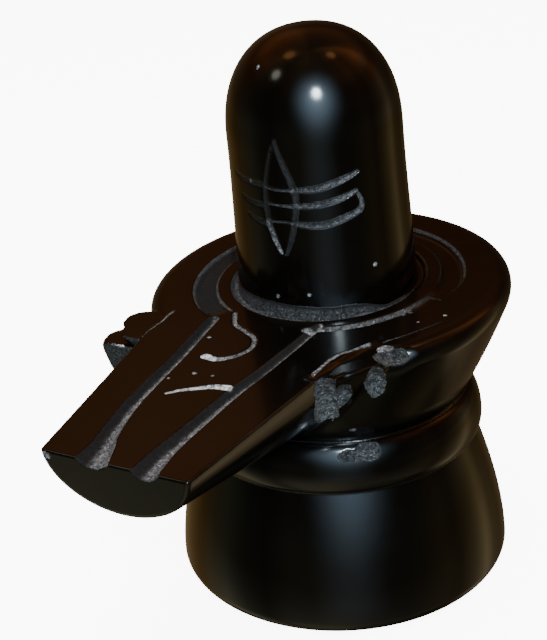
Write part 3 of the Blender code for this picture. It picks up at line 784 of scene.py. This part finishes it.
def stone_material():
    """Polished black stone, matt where it is cut or broken, with a little wear along its edges."""
    material, made, shader = new_material("black_stone")
    fine, grain = made.noise(SPARKLE_SCALE, 2), made.noise(GRAIN_SCALE, 4, 0.65)
    broad = made.noise(CLOUD_SCALE, 3)
    ragged = made.math("MULTIPLY", made.math("SUBTRACT", grain, 0.5), 0.45)
    foot_height = made.value("foot")
    foot = made.remap(foot_height, 2.0, 0.9)
    foot_tone = made.remap(foot_height, 1.6, 0.3, 0.10, FOOT_TONE)
    rough = made.remap(made.math("ADD", made.math("MAXIMUM", made.value("rough"), foot), ragged), 0.36, 0.58)
    worn = made.remap(made.math("ADD", made.value("wear"), made.math("MULTIPLY", broad, 0.5)), 0.6, 1.1)
    polish = made.blend(made.math("MULTIPLY", worn, 0.4), made.blend(broad, *POLISHED), WORN)
    tone = made.add("ShaderNodeMix", {0: foot, 2: made.value("tone"), 3: foot_tone}).outputs[0]
    lightness = made.math("POWER", tone, 2.0)
    hollows, grains = made.blend(lightness, *CUT_HOLLOWS), made.blend(lightness, *CUT_GRAINS)
    cut = made.blend(made.remap(grain, 0.40, 0.62), hollows, grains)
    sparkle = made.math("MULTIPLY", made.remap(fine, 0.62, 0.70), made.remap(tone, 0.15, 0.7))
    cut = made.blend(sparkle, cut, SPARKLES)
    made.feed(shader.inputs["Base Color"], made.blend(rough, polish, cut))
    smudge = made.remap(made.noise(SMUDGE_SCALE, 4, 0.6), 0.3, 0.75, *POLISH_ROUGHNESS)
    shine = made.add("ShaderNodeMix", {0: rough, 2: smudge, 3: CUT_ROUGHNESS}).outputs[0]
    made.feed(shader.inputs["Roughness"], shine)
    shader.inputs["Specular IOR Level"].default_value = 0.4
    height = made.math("MULTIPLY", grain, made.math("ADD", made.math("MULTIPLY", rough, 0.9), 0.008))
    bump = made.add("ShaderNodeBump", {"Strength": 0.6, "Distance": 0.0005, "Height": height})
    made.feed(shader.inputs["Normal"], bump.outputs["Normal"])
    return material


FLOOR_SIZE = 8
FLOOR_TONES = (0.90, 0.89, 0.88, 1), (0.92, 0.91, 0.90, 1)
FLOOR_GLOW, FLOOR_GLOW_STRENGTH = (1.0, 0.99, 0.98, 1), 8.0


def floor_material():
    material, made, shader = new_material("pale_floor")
    made.feed(shader.inputs["Base Color"], made.blend(made.noise(3, 2), *FLOOR_TONES))
    shader.inputs["Emission Color"].default_value = FLOOR_GLOW
    shader.inputs["Emission Strength"].default_value = FLOOR_GLOW_STRENGTH
    shader.inputs["Roughness"].default_value = 0.9
    shader.inputs["Specular IOR Level"].default_value = 0.1
    return material


def add_floor():
    """A pale floor that glows evenly. The polish shows the dim room around the stone instead of it."""
    bpy.ops.mesh.primitive_plane_add(size=FLOOR_SIZE)
    floor = bpy.context.object
    floor.name = "floor"
    floor.data.materials.append(floor_material())
    floor.visible_glossy = False
    floor.visible_diffuse = False
    floor.visible_shadow = False


# The camera: how far it looks down, its roll, its turn about the object, and the object's place in its view
CAMERA_DOWN = math.radians(23.68)
CAMERA_ROLL = math.radians(-4.72)
CAMERA_TURN = math.radians(30.56)
CAMERA_AWAY, CAMERA_SIDE, CAMERA_RISE = 306.53, 17.38, -52.99
CAMERA_LENS, CAMERA_SENSOR, CAMERA_NEAR = 70.3, 36, 0.01


def turned_back(vector):
    """From axes where the camera looks along +Y to the part's axes."""
    cos, sin = math.cos(CAMERA_TURN), math.sin(CAMERA_TURN)
    x, y, z = vector
    return Vector((x * cos - y * sin, x * sin + y * cos, z))


def camera_axes():
    ahead = Vector((0, math.cos(CAMERA_DOWN), -math.sin(CAMERA_DOWN)))
    right = Vector((1, 0, 0))
    up = right.cross(ahead)
    cos, sin = math.cos(CAMERA_ROLL), math.sin(CAMERA_ROLL)
    right, up = cos * right + sin * up, cos * up - sin * right
    return tuple(turned_back(axis) for axis in (right, up, ahead))


def add_camera():
    right, up, ahead = camera_axes()
    place = -(CAMERA_SIDE * right + CAMERA_RISE * up + CAMERA_AWAY * ahead) * MM
    camera = bpy.data.objects.new("camera", bpy.data.cameras.new("camera"))
    bpy.context.scene.collection.objects.link(camera)
    camera.data.lens = CAMERA_LENS
    camera.data.sensor_width = CAMERA_SENSOR
    camera.data.clip_start = CAMERA_NEAR
    camera.matrix_world = Matrix.Translation(place) @ Matrix((right, up, -ahead)).transposed().to_4x4()
    bpy.context.scene.camera = camera


def toward(azimuth, elevation):
    """The direction at an azimuth, 0 in front of the spout and positive to its right, and an elevation."""
    level = math.cos(elevation)
    return (math.sin(azimuth) * level, -math.cos(azimuth) * level, math.sin(elevation))


# The height above the floor that the lights face, in metres
LIT_HEIGHT = 0.07


def add_light(name, away, azimuth, elevation, size, power, colour, gloss=True):
    """A round soft light that faces the stone from a direction, with azimuth 0 in front of the spout."""
    light = bpy.data.lights.new(name, "AREA")
    light.shape = "DISK"
    light.size = size
    light.energy = power
    light.color = colour
    obj = bpy.data.objects.new(name, light)
    bpy.context.scene.collection.objects.link(obj)
    way = Vector(toward(math.radians(azimuth), math.radians(elevation)))
    obj.location = way * away + Vector((0, 0, LIT_HEIGHT))
    obj.rotation_euler = way.to_track_quat("Z", "Y").to_euler()
    obj.visible_glossy = gloss


# The dim room by height, from straight down (0) to straight up (1), in front of the spout and behind it
ROOM_FRONT = [
    (0.00, (0.45, 0.40, 0.26)),
    (0.17, (0.50, 0.46, 0.32)),
    (0.29, (0.20, 0.18, 0.14)),
    (0.36, (0.10, 0.09, 0.06)),
    (0.46, (0.10, 0.10, 0.075)),
    (0.56, (0.040, 0.035, 0.025)),
    (0.68, (0.035, 0.022, 0.012)),
    (0.80, (0.060, 0.032, 0.015)),
    (0.92, (0.12, 0.060, 0.020)),
    (1.00, (0.20, 0.11, 0.03)),
]
ROOM_BACK = [
    # Straight down behind the stone the room is dark: painted shade standing for the stone's own shadow on
    # the floor, seen in the polish
    (0.00, (0.05, 0.04, 0.02)),
    (0.10, (0.05, 0.04, 0.02)),
    (0.14, (0.34, 0.26, 0.15)),
    (0.22, (0.28, 0.21, 0.12)),
    (0.30, (0.28, 0.21, 0.10)),
    (0.35, (0.25, 0.18, 0.08)),
    (0.40, (0.19, 0.13, 0.05)),
    (0.45, (0.20, 0.15, 0.075)),
    (0.52, (0.13, 0.09, 0.045)),
    (0.61, (0.13, 0.09, 0.050)),
    (0.68, (0.16, 0.050, 0.012)),
    (0.73, (0.15, 0.045, 0.010)),
    (0.78, (0.30, 0.12, 0.045)),
    (0.84, (0.52, 0.16, 0.035)),
    (0.92, (0.38, 0.12, 0.025)),
    (1.00, (0.20, 0.11, 0.03)),
]
# What the room's colour is multiplied by, from behind the object (-180) past its left, front and right
ROOM_AROUND = [
    (-180, (0.45, 0.40, 0.35)),
    (-165, (0.45, 0.40, 0.35)),
    (-152, (0.5, 0.45, 0.4)),
    (-143, (1.0, 1.0, 1.0)),
    (-92, (1.0, 0.75, 0.45)),
    (-62, (1.8, 1.9, 1.7)),
    (-46, (0.9, 0.95, 0.9)),
    (-28, (0.5, 0.5, 0.5)),
    (-12, (1.2, 1.2, 1.2)),
    (16, (1.3, 1.3, 1.3)),
    (45, (0.7, 0.7, 0.7)),
    (70, (0.6, 0.6, 0.6)),
    (97, (0.9, 0.95, 0.95)),
    (110, (0.6, 0.55, 0.55)),
    (127, (1.5, 1.5, 1.5)),
    (140, (2.9, 2.9, 2.9)),
    (151, (0.9, 0.85, 0.8)),
    (165, (0.45, 0.40, 0.35)),
    (180, (0.45, 0.40, 0.35)),
]
MOST_GAIN = 3.0
# Where the front of the room gives way to its back, from front to back
ROOM_TURNS = (-0.45, 0.15)
WINDOW_AZIMUTH = math.radians(31)
WINDOW_SIDE, WINDOW_BOTTOM, WINDOW_TOP = (0.40, 0.08), (-0.62, -0.40), (0.35, 0.05)
WINDOW_COLOUR = (0.22, 0.28, 0.33)
GLOW_AZIMUTH, GLOW_ELEVATION, GLOW_REACH = math.radians(34), math.radians(25), math.radians(46)
GLOW_COLOUR, GLOW_FALL = (3.0, 4.3, 5.6), 4.5


def add_room():
    """A dim warm room with a cool window to one side, seen only in the polish."""
    world = bpy.data.worlds.new("room")
    bpy.context.scene.world = world
    world.use_nodes = True
    made = Nodes(world.node_tree)
    way = made.coordinates.outputs["Generated"]
    split = made.add("ShaderNodeSeparateXYZ", {"Vector": way})
    x, y, z = (split.outputs[axis] for axis in "XYZ")
    height = made.remap(z, -1.0, 1.0)
    behind = made.remap(y, *ROOM_TURNS)
    room = made.blend(behind, made.colours(height, ROOM_FRONT), made.colours(height, ROOM_BACK))
    azimuth = made.math("ARCTAN2", x, made.math("MULTIPLY", y, -1.0))
    gains = []
    for angle, colour in ROOM_AROUND:
        gains.append(((angle + 180) / 360, tuple(gain / MOST_GAIN for gain in colour)))
    around = made.colours(made.remap(azimuth, -math.pi, math.pi), gains)
    around = made.add("ShaderNodeVectorMath", {0: around, "Scale": MOST_GAIN}, operation="SCALE").outputs[0]
    room = made.blend(1.0, room, around, "MULTIPLY")
    cos, sin = math.cos(WINDOW_AZIMUTH), math.sin(WINDOW_AZIMUTH)
    aside = made.math("ADD", made.math("MULTIPLY", x, cos), made.math("MULTIPLY", y, sin))
    ahead = made.math("SUBTRACT", made.math("MULTIPLY", x, sin), made.math("MULTIPLY", y, cos))
    pane = made.remap(made.math("ABSOLUTE", aside), *WINDOW_SIDE)
    for edge in (made.remap(ahead, 0.0, 0.2), made.remap(z, *WINDOW_BOTTOM), made.remap(z, *WINDOW_TOP)):
        pane = made.math("MULTIPLY", pane, edge)
    middle = toward(GLOW_AZIMUTH, GLOW_ELEVATION)
    near = made.add("ShaderNodeVectorMath", {0: way, 1: middle}, operation="DOT_PRODUCT")
    glow = made.math("POWER", made.remap(near.outputs["Value"], math.cos(GLOW_REACH), 1.0), GLOW_FALL)
    for share, colour in ((pane, WINDOW_COLOUR), (glow, GLOW_COLOUR)):
        lit = made.add("ShaderNodeVectorMath", {0: colour, "Scale": share}, operation="SCALE").outputs[0]
        room = made.blend(1.0, room, lit, "ADD")
    made.feed(world.node_tree.nodes["Background"].inputs["Color"], room)


def add_lights():
    add_room()
    add_light("overhead", 1.6, 0, 88, 1.8, 75, (1, 0.99, 0.98), gloss=False)
    add_light("key", 1.2, 35, 34, 0.2, 13, (0.76, 0.91, 1.0))
    add_light("side", 1.2, -40, 47, 0.22, 0.5, (1.0, 1.0, 0.85))
    add_light("lamp_left", 1.2, -65, 71, 0.24, 0.35, (1.0, 0.42, 0.12))
    add_light("lamp_right", 1.2, 110, 68, 0.20, 0.28, (1.0, 0.38, 0.12))


def main():
    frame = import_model()
    node = frame["nodes"]["shiva_lingam"]
    mesh = carve(node, Stone())
    mesh.materials.clear()
    mesh.materials.append(stone_material())
    carved = bpy.data.objects.new("carved_stone", mesh)
    bpy.context.scene.collection.objects.link(carved)
    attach(carved, "root")
    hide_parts("shiva_lingam")
    add_floor()
    add_camera()
    add_lights()


main()
